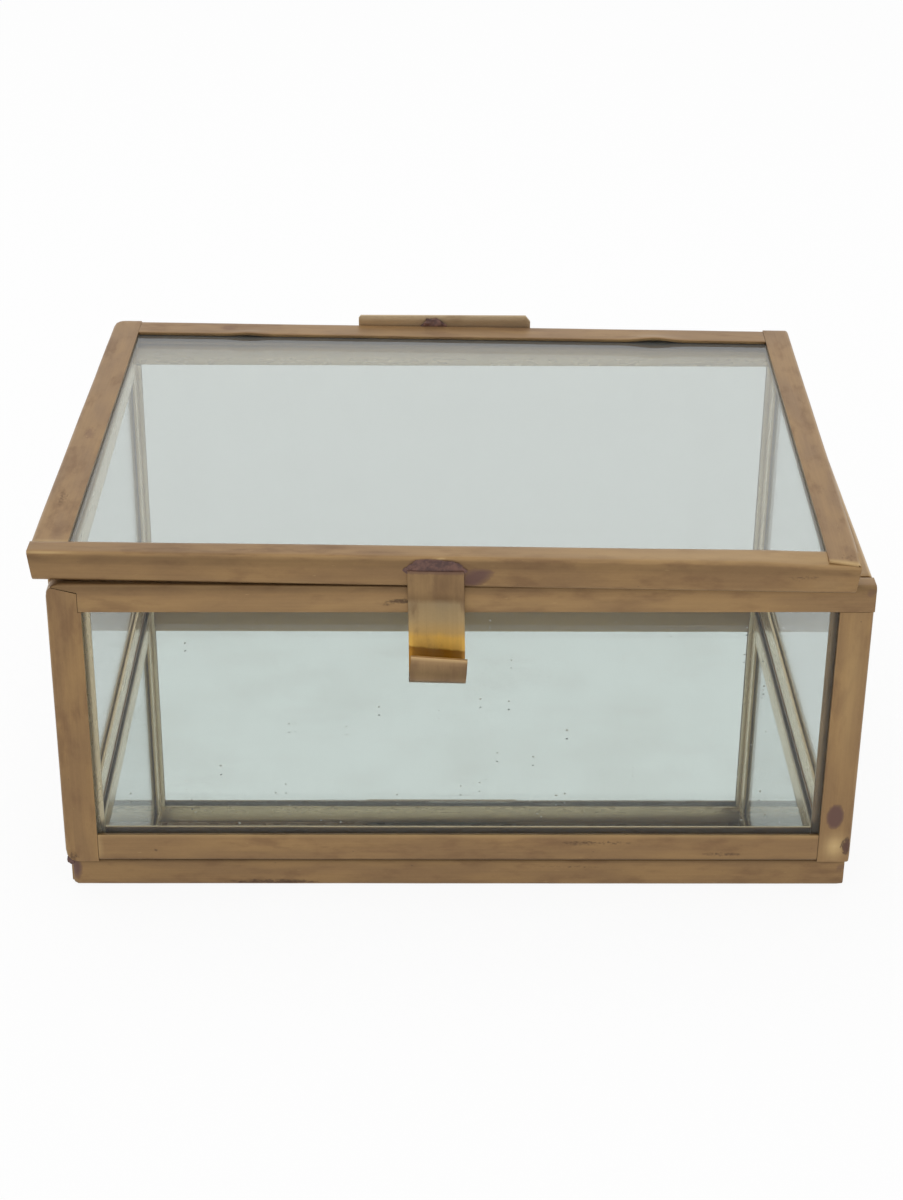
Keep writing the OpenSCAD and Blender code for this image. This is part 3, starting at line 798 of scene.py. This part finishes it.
# Lid frame: the front rail runs from corner to corner, and the right rail's end laps over it
front_left_leg = 3 * mm
front_right_leg = 3.8 * mm
left_rear_leg = 4 * mm
left_front_leg = 4.6 * mm
right_rear_leg = 3.8 * mm
right_front_leg = 3.9 * mm
lean = 0.5 * mm
tongue_middle = (lid_w / 2 + tongue_x) / mm


def sunken(point):
    """The front rail's top fold sinks towards the right end, where the side rail laps over it."""
    along = clamped((point.x - (lid_w - 13 * mm)) / (8 * mm))
    high = clamped(point.z / lid_t * 2 - 1) * (0.3 + 0.7 * max(0, 1 - point.y / lid_front_leg))
    point.z -= 0.46 * mm * along * along * (3 - 2 * along) * high
    return point


def deepened(point):
    """The front rail's lower fold hangs lower towards the right end, where it stands before the wall."""
    share = point.x / lid_w
    low = max(0, 1 - point.z / lid_t * 2)
    fade = clamped((1.2 * mm - point.y) / (0.8 * mm))
    behind = 0.25 * (1 - share)
    point.z -= (0.28 + 0.22 * share) * mm * low * (behind + (1 - behind) * fade)
    return point


def slanted_lap(point):
    """The lapped end of the right rail reaches further forward, and lower, at its outer edge."""
    share = max(0, 1 - point.y / right_front_leg) * max(0, 1 - point.x / (2.6 * mm))
    if point.z > lid_t - sheet - hair:
        point.x -= 0.65 * mm * share
        point.z -= 0.2 * mm * share
    return point


def lid_rail(side, origin, along, legs, length, leg, **looks):
    """A strip of the lid's frame, with both its legs alike."""
    place = lid_place, origin, along, legs
    strip_piece(f"lid_rail_{side}", place, length, lid_t, (leg, leg), "lid", **looks)


# The front rail has a band of painted shade just below its top fold and a fainter one on its face, its top
# leg painted darker at the left and lighter at the right as light falls, and a painted highlight on the bump
# above the tongue.
lid_rail(
    "front", (0, 0, 0), (1, 0, 0), (0, 1, 0), lid_w, lid_front_leg,
    marks=[
        (FLUX, tongue_middle + 4.4, 0.9, 1.3, 0.9, 1.1), (FLUX, tongue_middle + 5.9, 1.6, 1.3, 0.5, 0.9),
        (FLUX, tongue_middle, 2.6, 3.6, 1.1, 0.75), (GRIME, 93, 1.6, 3, 0.5, 0.55),
        all_along(2.75, 0.55, -0.38), all_along(1.8, 1.8, -0.1), (POLISH_AND_SHADING, 2.2, 3.7, 3.6, 0.3, 1),
        (POLISH_AND_SHADING, 2, 7, 2.2, 0.35, 0.5), (POLISH_AND_SHADING, 16, 5.4, 26, 1.6, -0.12), (POLISH_AND_SHADING, 84, 5.4, 34, 2.4, 0.4),
        (POLISH_AND_SHADING, 96, 1, 3, 0.8, 0.25), (POLISH_AND_SHADING, tongue_middle + 0.35, 3.5, 0.45, 0.3, 1.3),
    ],
    dents=[(50, 2.9, 60, 0.5, -0.1), (96, 1.2, 4, 0.8, -0.12), (tongue_middle + 0.35, 3.5, 0.5, 0.35, 0.12)],
    shapes=[
        tapered(lid_w, front_left_leg / lid_front_leg, front_right_leg / lid_front_leg), sunken, deepened,
        leaning(0, 3 * mm, lean, X), leaning(lid_w, 3 * mm, -lean, X),
    ],
)
rear_w = lid_w - 2 * fold_r
# The rear, left and right rails have their undersides painted pale, for the light they show in the mirror,
# and their sides facing the glass painted lighter, or on the rear rail in faint shade.
lid_rail(
    "rear", (lid_w - fold_r, lid_d, 0), (-1, 0, 0), (0, -1, 0), rear_w, lid_rear_leg, hidden=-0.1,
    cuts=ends_only_web(right_rear_leg - fold_r + hair, lid_t, -1)
    + ends_only_web(rear_w + fold_r - left_rear_leg - hair, lid_t, 1),
    marks=[(FLUX, 82, 6, 2, 1.6, 0.5), (FLUX, 50, 5, 14, 1.4, 0.2), all_along(-2.3, 2.4, 1.7)],
    dents=[(19.5, lid_t / mm + 4.4, 2.6, 1.2, 0.35), (79, lid_t / mm + 4.4, 2, 1, 0.2)],
    shapes=[rounded(rear_w + fold_r, corner_r)],
)
lid_rail(
    "left", (0, lid_d, 0), (0, -1, 0), (1, 0, 0), lid_d - fold_r, lid_side_leg, hidden=0.6,
    cuts=ends_only_web(lid_d - front_left_leg, lid_t, 1),
    marks=[
        (FLUX, 42, 6, 3, 1.2, 0.5), (GRIME, 62, 5.5, 4, 1, 0.35), all_along(-2, 2, 1.2),
        (POLISH_AND_SHADING, 74.4, 5.5, 0.4, 3, 0.6),
    ],
    shapes=[
        tapered(lid_d, left_rear_leg / lid_side_leg, left_front_leg / lid_side_leg), rounded(0, corner_r),
        leaning(lid_d, 5 * mm, lean, Y),
    ],
)
right_length = lid_d - lap_setback
lapped_end = front_right_leg - lap_setback + hair
# The right rail's lapped end and its top fold carry painted highlights.
lid_rail(
    "right", (lid_w, lap_setback, 0), (0, 1, 0), (-1, 0, 0), right_length, lid_side_leg, hidden=0.3,
    cuts=[[past(X, lapped_end, -1), past(Z, lid_t - sheet - hair, -1)]],
    marks=[
        (POLISH_AND_SHADING, 0.1, 5.5, 0.35, 3, 1.1), (GRIME, 1.4, 5.5, 1.5, 2, 0.35), all_along(3.8, 0.25, 0.4),
        all_along(-2, 2, 1.2),
    ],
    shapes=[
        tapered(right_length, right_front_leg / lid_side_leg, right_rear_leg / lid_side_leg), slanted_lap,
        leaning(0, 5 * mm, lean, Y),
    ],
)


# Sheet metal that is rolled across its length: the tongue and the hinge leaves

def rolled_sheet(width, columns, start, heading, moves):
    """A sheet of one width, as a row of points along X that moves on and turns. start is [y, z], heading is
    the direction from straight up, towards +Y, and each move is (length, radius, degrees, steps)."""
    bm = bmesh.new()
    ends = [bm.verts.new((side * width / 2, start[0], start[1])) for side in (-1, 1)]
    row = [bm.edges.new(ends)]
    bmesh.ops.subdivide_edges(bm, edges=row, cuts=columns - 1)
    strip, _ = mark_layers(bm)
    geometry, points, gone = bm.verts[:] + bm.edges[:], bm.verts[:], 0
    for vert in points:
        vert[strip] = (0, vert.co.x / mm, 1)
    for length, radius, degrees, steps in moves:
        for _ in range(steps):
            forward = Vector((0, math.sin(heading), math.cos(heading)))
            if radius:
                side = 1 if degrees > 0 else -1
                centre = points[0].co + Vector((0, forward.z, -forward.y)) * radius * side
                turn = math.radians(degrees) / steps
                geometry = swept(bm, geometry, 1, centre=centre, axis=(-1, 0, 0), angle=turn)
                heading += turn
                gone += abs(turn) * radius
            else:
                geometry = swept(bm, geometry, 1, forward * length / steps)
                gone += length / steps
            points = [g for g in geometry if isinstance(g, bmesh.types.BMVert)]
            for vert in points:
                vert[strip] = (gone / mm, vert.co.x / mm, 1)
    return bm


# Latch tongue: flat on the rail, tucked in below it, swept outwards and curled, with a straight lip
tongue_moves = [
    (tongue_top + 0.8 * mm, 0, 0, 4),
    (0, 4 * mm, -8, 3),
    (0, 16 * mm, 33, 10),
    (0, 1.9 * mm, 160, 16),
    (1.95 * mm, 0, 0, 4),
]
lip_starts = 15
lip_length = 4.8
lip_slope = math.tan(math.radians(3.4))


def tongue_shape(point, along):
    """The tongue leans to the right towards its foot, and the top edge of its lip is askew."""
    low = (tongue_top - point.z) / (14 * mm)
    lip = clamped((along - lip_starts) / lip_length)
    point.z -= lip_slope * point.x * lip
    point.x += 0.35 * mm * (low + lip)
    return point


def latch_tongue():
    """The tongue, with painted light and shade along its curl, a painted highlight on the lip's top edge,
    and a flux stain at its top.
    """
    tongue = rolled_sheet(tongue_w, 14, (0, tongue_top), math.pi, tongue_moves)
    thicken(tongue, tongue_t, (0, 0, 1), (0, 1, 0), 0.08 * mm)
    strip, marks = mark_layers(tongue)
    for vert in tongue.verts:
        along, over, _ = vert[strip]
        vert.co = tongue_shape(vert.co.copy(), along)
        vert.co.y += 0.03 * mm * (noise.noise(vert.co * 300) + 0.6)
        # The place along is skewed near the valley so that its painted shade slants, and the lip's top edge
        # gets a painted highlight.
        vert[strip] = (along - 0.09 * over * swell(along, 10.8, 2.5), over * 0.9, 1)
        vert[marks] = (0.9 * swell(along, -0.3, 0.6), 0, 0.7 * swell(along, 19.8, 0.35))
    place = lid_place @ Matrix.Translation((lid_w / 2 + tongue_x, 0, 0))
    finish_piece("latch_tongue", tongue, tongue_brass, "lid", place)


latch_tongue()


# Hinge

def leaf(depth, gaps, chamfers):
    """A hinge leaf whose plate stands at y = -knuckle_r and is rolled over the pin, open in the gaps."""
    bm = rolled_sheet(hinge_w, 40, (-knuckle_r, -depth), 0, [(depth, 0, 0, 6), (0, knuckle_r, 303, 22)])
    for lo, hi in gaps:
        cut_away(bm, past(X, lo), past(X, hi, -1), past(Z, -knuckle_r - knuckle_gap))
    for side, size in zip((-1, 1), chamfers):
        corner = (side * (hinge_w / 2 - size), 0, -depth), (side, 0, -0.8)
        cut_away(bm, corner, past(Y, -knuckle_r / 2, -1), past(Z, -depth / 2, -1))
    thicken(bm, leaf_t, (0, 0, -1), (0, -1, 0), 0.08 * mm)
    strip, _ = mark_layers(bm)
    for vert in bm.verts:
        along, over, _ = vert[strip]
        vert[strip] = (over, along, 1)
    return bm


def hinge():
    """Two leaves and their pin. The lower leaf has the outer knuckles, and the upper leaf the middle one."""
    middle_gap = knuckle_w / 2 + knuckle_gap
    lower = leaf(lower_leaf_h, [(-middle_gap, middle_gap)], (0.5 * mm, 0.5 * mm))
    finish_piece("hinge_leaf_lower", lower, hinge_brass, "casket", hinge_place)
    outer_gaps = [(-hinge_w, -knuckle_w / 2), (knuckle_w / 2, hinge_w)]
    upper = leaf(leaf_h, outer_gaps, (0.3 * mm, 0.7 * mm))
    bmesh.ops.transform(upper, matrix=Matrix.Scale(-1, 4, (0, 0, 1)), verts=upper.verts[:])
    bmesh.ops.recalc_face_normals(upper, faces=upper.faces[:])
    finish_piece("hinge_leaf_upper", upper, hinge_brass, "lid", hinge_place)
    pin = bmesh.new()
    bmesh.ops.create_cone(pin, cap_ends=True, segments=28, radius1=pin_r, radius2=pin_r, depth=hinge_w)
    eased(pin, [e for e in pin.edges if e.calc_face_angle(0) > 1], 0.25 * mm, 4)
    strip, _ = mark_layers(pin)
    for vert in pin.verts:
        vert[strip] = (vert.co.z / mm, math.atan2(vert.co.y, vert.co.x), 1)
    finish_piece("hinge_pin", pin, hinge_brass, "casket", hinge_place @ Matrix.Rotation(math.pi / 2, 4, "Y"))


hinge()


# Solder, run by hand

def joined(parts):
    """One bmesh that holds all the given ones, which it uses up."""
    whole = bmesh.new()
    for part in parts:
        mesh = bpy.data.meshes.new("lump")
        part.to_mesh(mesh)
        part.free()
        whole.from_mesh(mesh)
        bpy.data.meshes.remove(mesh)
    return whole


def lump(centre, radii, seed, rough):
    """A blob of solder with an uneven skin."""
    bm = bmesh.new()
    bmesh.ops.create_icosphere(bm, subdivisions=4, radius=1)
    for vert in bm.verts:
        coarse = noise.noise(vert.co * 1.7 + Vector((seed, 0, 0)))
        uneven = 1 + rough * coarse + 0.4 * rough * noise.noise(vert.co * 5)
        vert.co = Vector(centre) + Vector([c * r * uneven for c, r in zip(vert.co, radii)])
    return bm


def bead(start, end, radii, seed):
    """A run of solder between two points, thicker and thinner along its length."""
    run = Vector(end) - Vector(start)
    length = run.length
    steps = max(6, round(length / (0.5 * mm)))
    bm = bmesh.new()
    bmesh.ops.create_circle(bm, segments=12, radius=1)
    swept(bm, bm.verts[:] + bm.edges[:], steps, (0, 0, 1 / steps))
    bmesh.ops.holes_fill(bm, edges=[e for e in bm.edges if e.is_boundary], sides=0)
    turn = run.to_track_quat("Z", "Y").to_matrix().to_4x4()
    for vert in bm.verts:
        share = vert.co.z
        taper = math.sqrt(max(0.03, 1 - (2 * share - 1) ** 8))
        uneven = taper * (0.85 + 0.3 * noise.noise(Vector((share * length * 700, vert.co.x, seed))))
        vert.co = Vector((vert.co.x * radii[0] * uneven, vert.co.y * radii[1] * uneven, share * length))
    bm.transform(Matrix.Translation(start) @ turn)
    bmesh.ops.recalc_face_normals(bm, faces=bm.faces[:])
    return bm


def body_solder():
    """Solder up the four corner seams, along the joints of the base frame and on its front left corner."""
    seam_in = 0.4 * mm
    joint_in = base_inset + 0.1 * mm
    joint_z = base_t - 0.25 * mm
    top = wall_h + base_t - rail_leg
    runs = []
    for end in (0, 1):
        seam_y = body_d - wall_t if end else wall_t
        joint_y = body_d - base_inset - base_leg if end else base_inset + base_leg
        run = -6 * mm if end else 6 * mm
        for side in (0, 1):
            seam_x = body_w - seam_in if side else seam_in
            joint_x = body_w - joint_in if side else joint_in
            seam = (seam_x, seam_y, base_t + 0.2 * mm), (seam_x, seam_y, top)
            joint = (joint_x, joint_y, joint_z), (joint_x, joint_y + run, joint_z)
            runs.append(bead(*seam, (0.38 * mm, 0.42 * mm), 3 * side + end))
            runs.append(bead(*joint, (0.3 * mm, 0.3 * mm), 9 + side))
    corner = base_inset + 0.05 * mm, 1.1 * mm, base_t - 0.3 * mm
    runs.append(lump(corner, (0.5 * mm, 0.5 * mm, 0.75 * mm), 4, 0.3))
    finish_piece("body_solder", joined(runs), solder, "casket", casket)


def lid_solder():
    """A dome of solder above the tongue, and runs and a lump between the lid and the upper leaf."""
    centre = Vector((lid_w / 2 + tongue_x - 0.1 * mm, 0, tongue_top + 0.05 * mm))
    dome = lump(centre, (3.5 * mm, 0.34 * mm, 1.35 * mm), 2, 0.22)
    for vert in dome.verts:
        vert.co.z = max(vert.co.z, tongue_top - 1.7 * mm)
    parts = [dome]
    middle_x = (lid_place.inverted() @ hinge_place.translation).x
    fill_y = lid_d + 0.15 * mm
    reach = 11.8 * mm
    for height in (0.9 * mm, 1.9 * mm, 2.9 * mm):
        run = (middle_x - reach, fill_y + 0.2 * mm, height), (middle_x + reach, fill_y - 0.25 * mm, height)
        parts.append(bead(*run, (0.62 * mm, 0.3 * mm), height * 3000))
    above = middle_x - 1.6 * mm, fill_y - 0.1 * mm, lid_t - 0.2 * mm
    parts.append(lump(above, (1.75 * mm, 0.4 * mm, 1.2 * mm), 8, 0.25))
    finish_piece("lid_solder", joined(parts), solder, "lid", lid_place)


body_solder()
lid_solder()


# Glass and mirror

def plate(lo, hi, edge):
    """A flat plate with arrised edges."""
    bm = bmesh.new()
    bmesh.ops.create_cube(bm, size=1)
    size, middle = Vector(hi) - Vector(lo), (Vector(hi) + Vector(lo)) / 2
    bm.transform(Matrix.Translation(middle) @ Matrix.Diagonal((*size, 1)))
    eased(bm, bm.edges[:], edge, 2)
    return bm


def panes():
    """The glass of the four walls and of the lid."""
    arris = 0.2 * mm
    for side in walls:
        lo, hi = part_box(f"{side}_glass")
        finish_piece(f"{side}_glass", plate(lo, hi, arris), wall_pane, "casket", smooth=False)
    lo = Vector((sheet + 0.3 * mm, sheet + 0.3 * mm, sheet + 0.1 * mm))
    pane_plate = plate(lo, Vector((lid_w, lid_d, lid_t)) - lo, arris)
    finish_piece("lid_glass", pane_plate, lid_pane, "lid", lid_place, slot="clear_glass", smooth=False)


def mirror():
    """The mirror in the base, as clear glass and, below it, its silvered and painted back."""
    silver_z = mirror_hi.z - 1.5 * mm
    as_mirror = {"nodes": ["base_mirror"], "slot": "mirror", "smooth": False}
    glass = plate((mirror_lo.x, mirror_lo.y, silver_z + 0.01 * mm), mirror_hi, 0.15 * mm)
    finish_piece("mirror_glass", glass, mirror_pane, "casket", **as_mirror)
    back = plate(mirror_lo, (mirror_hi.x, mirror_hi.y, silver_z), 0.1 * mm)
    backing = finish_piece("mirror_back", back, silver, "casket", **as_mirror)
    backing.data.materials.append(mirror_paint)
    for polygon in backing.data.polygons:
        polygon.material_index = 0 if polygon.normal.z > 0.9 else 1


def mirror_dust():
    """Crumbs of dust on the mirror, some in four smears near the front wall."""
    chance = random.Random(11)
    specks = []
    floor_lo = Vector((front_lo.x + wall_t, front_lo.y + wall_t, mirror_hi.z))
    floor_size = Vector((body_w - 2 * wall_t, body_d - 2 * wall_t, 0))
    smears = ((31, 39), (57, 63), (66, 72), (80, 90))
    in_smears = 130
    for number in range(520):
        far = chance.random() ** 2.2
        spot = floor_lo + Vector((chance.random() * floor_size.x, far * floor_size.y, 0))
        if number < in_smears:
            start, end = smears[number % len(smears)]
            spot.x = front_lo.x + (start + (end - start) * chance.random()) * mm
            spot.y = front_lo.y + (9.3 + 0.5 * chance.random()) * mm
        wide = (0.05 + 0.16 * chance.random() ** 3) * mm
        flat = Matrix.Diagonal((1, 0.6 + 0.6 * chance.random(), 0.45, 1))
        turn = Matrix.Rotation(chance.random() * 6.28, 4, "Z")
        bm = bmesh.new()
        bmesh.ops.create_icosphere(bm, subdivisions=1, radius=wide)
        bm.transform(Matrix.Translation(spot + Vector((0, 0, wide * 0.4))) @ turn @ flat)
        specks.append(bm)
    finish_piece("mirror_dust", joined(specks), crumbs, "casket", nodes=[], slot="mirror", smooth=False)


panes()
mirror()
mirror_dust()


# Studio

floor_glow = 0.92
ambient = 0.5
lamps = (
    ("overhead", (-0.1, 0.15, 0.75), 0.6, 2.6),
    ("front_left", (-0.6, -0.7, 0.6), 0.5, 0.7),
    ("front_right", (0.8, -0.5, 0.5), 0.5, 0.8),
)
lamps_aim = Vector((0, 0, 0.02))


def seen_directly(tree):
    """1 for rays from the camera, off gloss or through glass, and 0 for the rest."""
    path = add(tree, "LightPath").outputs
    seen = math_of(tree, "MAXIMUM", path["Is Camera Ray"], path["Is Glossy Ray"])
    return math_of(tree, "MAXIMUM", seen, path["Is Transmission Ray"])


def table_top():
    """A pale floor just under the casket, which mostly looks white and still takes a soft shadow."""
    bm = bmesh.new()
    bmesh.ops.create_grid(bm, x_segments=1, y_segments=1, size=4)
    bm.transform(Matrix.Translation((0, 0, -0.02 * mm)))
    mesh = bpy.data.meshes.new("floor")
    bm.to_mesh(mesh)
    bm.free()
    floor = put_in_scene("floor", mesh)
    material, tree, shader = new_material("floor", {
        "Base Color": (0.95, 0.95, 0.95, 1), "Roughness": 0.9, "Specular IOR Level": 0.1,
    })
    white = add(tree, "Emission", {0: (1, 1, 1, 1), 1: 1}).outputs[0]
    shown_mixed(tree, math_of(tree, "MULTIPLY", seen_directly(tree), floor_glow), shader.outputs[0], white)
    mesh.materials.append(material)


def light():
    """Soft lamps, and a world that the camera, metal and glass see as white."""
    world = bpy.data.worlds.new("studio")
    bpy.context.scene.world = world
    world.use_nodes = True
    tree = world.node_tree
    strength = math_of(tree, "MULTIPLY_ADD", seen_directly(tree), 1 - ambient, ambient)
    feed(tree, tree.nodes["Background"], {0: (1, 1, 1, 1), 1: strength})
    for name, place, size, power in lamps:
        lamp = bpy.data.lights.new(name, "AREA")
        lamp.size = size
        lamp.energy = power
        holder = put_in_scene(name, lamp)
        holder.location = place
        holder.rotation_euler = (lamps_aim - Vector(place)).to_track_quat("-Z", "Y").to_euler()
        holder.visible_camera = holder.visible_transmission = holder.visible_glossy = False


def camera():
    """The photograph's viewpoint, found from the corners of the casket in it. Its place is measured from
    the casket's front left corner on the table."""
    place = Matrix.Translation((45.4 * mm, -251.7 * mm, 172.2 * mm))
    down, yaw, roll = (math.radians(angle) for angle in (27.42, 0.78, 0.48))
    lens = bpy.data.cameras.new("camera")
    lens.sensor_width = 36
    lens.lens = 70.75
    holder = put_in_scene("camera", lens)
    aim = Matrix.Rotation(-yaw, 4, "Z") @ Matrix.Rotation(math.pi / 2 - down, 4, "X")
    holder.matrix_world = casket @ place @ aim @ Matrix.Rotation(roll, 4, "Z")
    bpy.context.scene.camera = holder


camera()
table_top()
light()
bpy.context.scene.view_settings.view_transform = "Standard"
